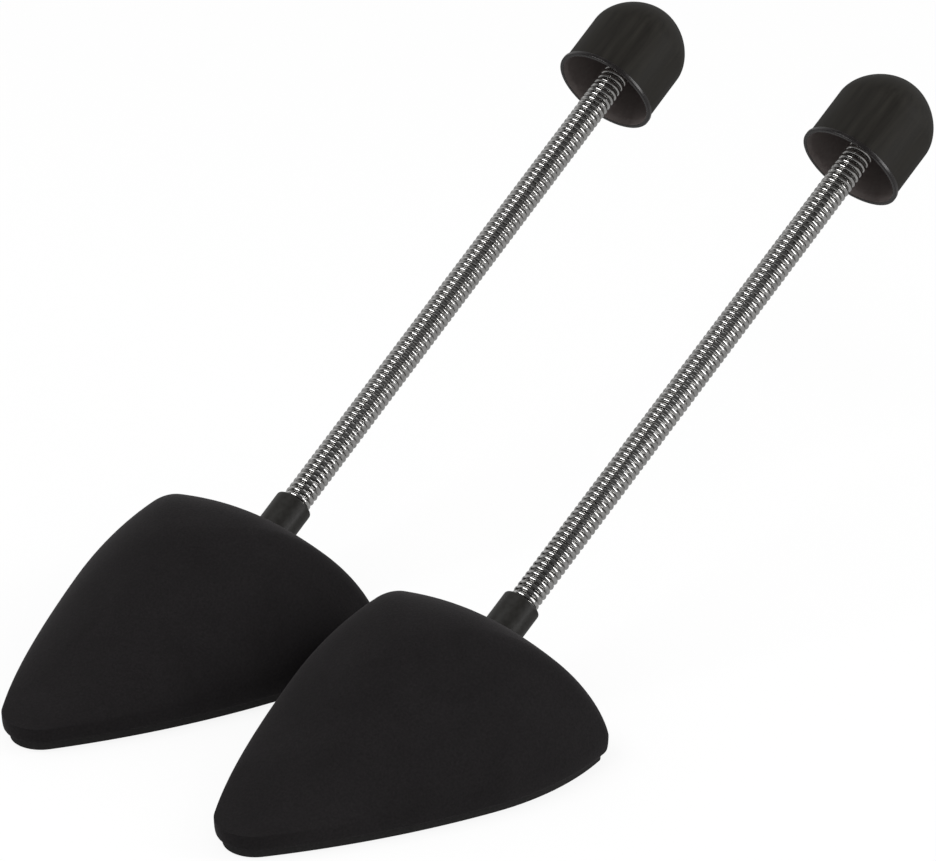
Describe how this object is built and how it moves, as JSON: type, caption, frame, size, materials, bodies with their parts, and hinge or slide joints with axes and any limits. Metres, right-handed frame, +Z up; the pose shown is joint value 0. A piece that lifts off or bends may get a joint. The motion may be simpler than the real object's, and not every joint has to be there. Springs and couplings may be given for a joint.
{
  "type": "spiral spring shoe tree",
  "caption": "Pair of shoe trees: black flocked toe formers, long chromed wound springs rising from collars, hollow domed heel knobs.",
  "frame": {"origin": "middle of the pair's box, on the surface that the two toe soles rest on", "axes": "+Z up, +Y from the toe tips to the heel knobs, +X to the right of that"},
  "size_m": [0.189, 0.3192, 0.151],
  "materials": {
    "black_flock": "matte",
    "base_plastic": "matte",
    "collar_plastic": "satin",
    "knob_plastic": "gloss",
    "plug_plastic": "matte",
    "chromed_steel": "polished"
  },
  "bodies": {
    "left_toe": {"left_toe_shell": "black_flock", "left_toe_base": "base_plastic", "left_neck_collar": "collar_plastic", "left_toe_plug": "plug_plastic"},
    "left_spring_body": {"left_spring": "chromed_steel"},
    "left_heel": {"left_heel_plug": "plug_plastic", "left_heel_knob": "knob_plastic"},
    "right_toe": {"right_toe_shell": "black_flock", "right_toe_base": "base_plastic", "right_neck_collar": "collar_plastic", "right_toe_plug": "plug_plastic"},
    "right_spring_body": {"right_spring": "chromed_steel"},
    "right_heel": {"right_heel_plug": "plug_plastic", "right_heel_knob": "knob_plastic"}
  },
  "joints": [
    {"name": "left_lower_bend", "type": "hinge", "parent": "left_toe", "child": "left_spring_body", "pos_m": [-0.04941, 0.01394, 0.05572], "axis": [0.9997, 0.0264, 0], "range_deg": [-32, 20], "stiffness_Nm_per_rad": 0.067, "springref_deg": 11.46, "deforming": ["left_spring"]},
    {"name": "left_upper_bend", "type": "hinge", "parent": "left_spring_body", "child": "left_heel", "pos_m": [-0.05159, 0.0968, 0.10315], "axis": [0.9997, 0.0264, 0], "range_deg": [-32, 20], "stiffness_Nm_per_rad": 0.067, "springref_deg": 11.46, "deforming": ["left_spring"]},
    {"name": "right_lower_bend", "type": "hinge", "parent": "right_toe", "child": "right_spring_body", "pos_m": [0.0492, 0.00846, 0.05686], "axis": [0.9997, -0.0236, 0], "range_deg": [-32, 20], "stiffness_Nm_per_rad": 0.067, "springref_deg": 11.46, "deforming": ["right_spring"]},
    {"name": "right_upper_bend", "type": "hinge", "parent": "right_spring_body", "child": "right_heel", "pos_m": [0.05112, 0.08997, 0.10659], "axis": [0.9997, -0.0236, 0], "range_deg": [-32, 20], "stiffness_Nm_per_rad": 0.067, "springref_deg": 11.46, "deforming": ["right_spring"]},
    {"name": "right_tree_slide", "type": "slide", "parent": "left_toe", "child": "right_toe", "axis": [1, 0, 0], "range_m": [0, 0.15]}
  ],
  "couplings": [
    {"joint": "left_upper_bend", "follows": "left_lower_bend", "ratio": 1},
    {"joint": "right_upper_bend", "follows": "right_lower_bend", "ratio": 1}
  ]
}
